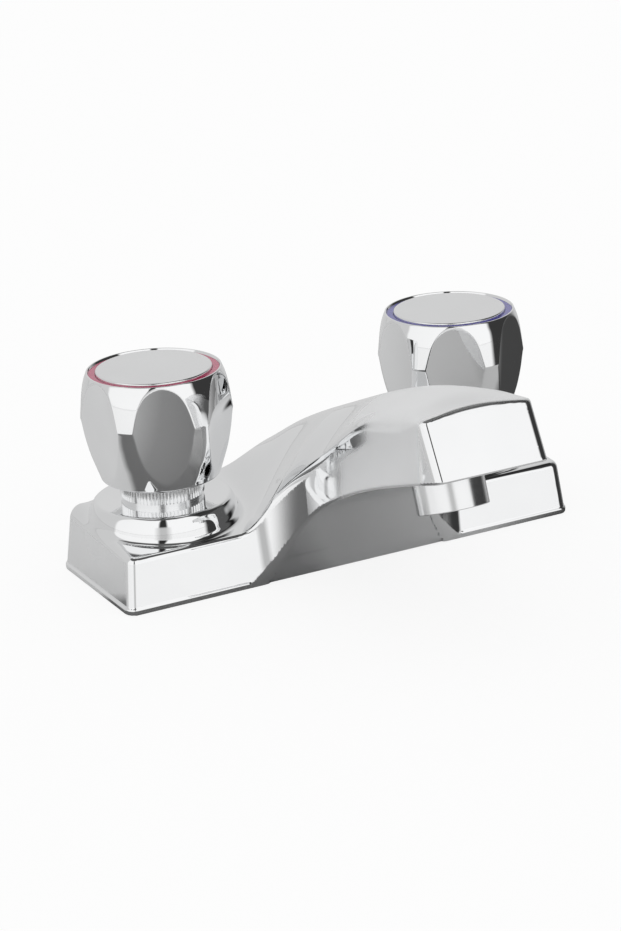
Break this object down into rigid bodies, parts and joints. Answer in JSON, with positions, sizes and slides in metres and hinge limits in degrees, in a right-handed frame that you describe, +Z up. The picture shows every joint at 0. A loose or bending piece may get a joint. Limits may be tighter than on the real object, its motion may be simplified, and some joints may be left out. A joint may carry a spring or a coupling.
{
  "type": "two-handle basin faucet",
  "caption": "Deck basin faucet with a cast wing-shaped spout body and round scooped handles on washer valves, hot and cold index rings",
  "frame": {"origin": "middle of the face that seats on the basin deck", "axes": "+Z up from the deck, +X to the cold side, -Y to the user and the spout"},
  "size_m": [0.1524, 0.1334, 0.1194],
  "materials": {
    "chrome_body": "polished",
    "chrome_handle": "polished",
    "chrome_trim": "polished",
    "brass": "satin",
    "copper": "satin",
    "steel": "satin",
    "rubber": "matte",
    "white_plastic": "matte",
    "red_plastic": "gloss",
    "blue_plastic": "gloss"
  },
  "bodies": {
    "base": {"body_shell": "chrome_body", "deck_gasket": "rubber", "spout_underside": "chrome_trim", "mixing_tee": "brass", "hot_link_tube": "copper", "cold_link_tube": "copper", "spout_tube": "copper", "outlet_collar": "chrome_trim", "aerator_insert": "white_plastic", "aerator_washer": "rubber", "hot_valve_body": "brass", "cold_valve_body": "brass", "hot_shank_washer": "rubber", "cold_shank_washer": "rubber", "hot_shank_nut": "brass", "cold_shank_nut": "brass", "hot_locknut": "chrome_trim", "cold_locknut": "chrome_trim", "hot_headwork": "brass", "cold_headwork": "brass"},
    "hot_handle": {"hot_spindle": "brass", "hot_spindle_seal": "rubber", "hot_knob": "chrome_handle", "hot_index_ring": "red_plastic", "hot_cap": "chrome_trim", "hot_handle_screw": "steel"},
    "cold_handle": {"cold_spindle": "brass", "cold_spindle_seal": "rubber", "cold_knob": "chrome_handle", "cold_index_ring": "blue_plastic", "cold_cap": "chrome_trim", "cold_handle_screw": "steel"},
    "hot_jumper_set": {"hot_jumper": "brass", "hot_seat_washer": "rubber", "hot_washer_screw": "steel"},
    "cold_jumper_set": {"cold_jumper": "brass", "cold_seat_washer": "rubber", "cold_washer_screw": "steel"}
  },
  "joints": [
    {"name": "hot_turn", "type": "hinge", "parent": "base", "child": "hot_handle", "pos_m": [-0.0508, 0.0024, 0.04], "axis": [0, 0, 1], "range_deg": [0, 540]},
    {"name": "cold_turn", "type": "hinge", "parent": "base", "child": "cold_handle", "pos_m": [0.0508, 0.0024, 0.04], "axis": [0, 0, 1], "range_deg": [0, 540]},
    {"name": "hot_lift", "type": "slide", "parent": "base", "child": "hot_jumper_set", "axis": [0, 0, 1], "range_m": [0, 0.003]},
    {"name": "cold_lift", "type": "slide", "parent": "base", "child": "cold_jumper_set", "axis": [0, 0, 1], "range_m": [0, 0.003]}
  ],
  "couplings": [
    {"joint": "hot_lift", "follows": "hot_turn", "m_per_rad": 0.000318},
    {"joint": "cold_lift", "follows": "cold_turn", "m_per_rad": 0.000318}
  ]
}
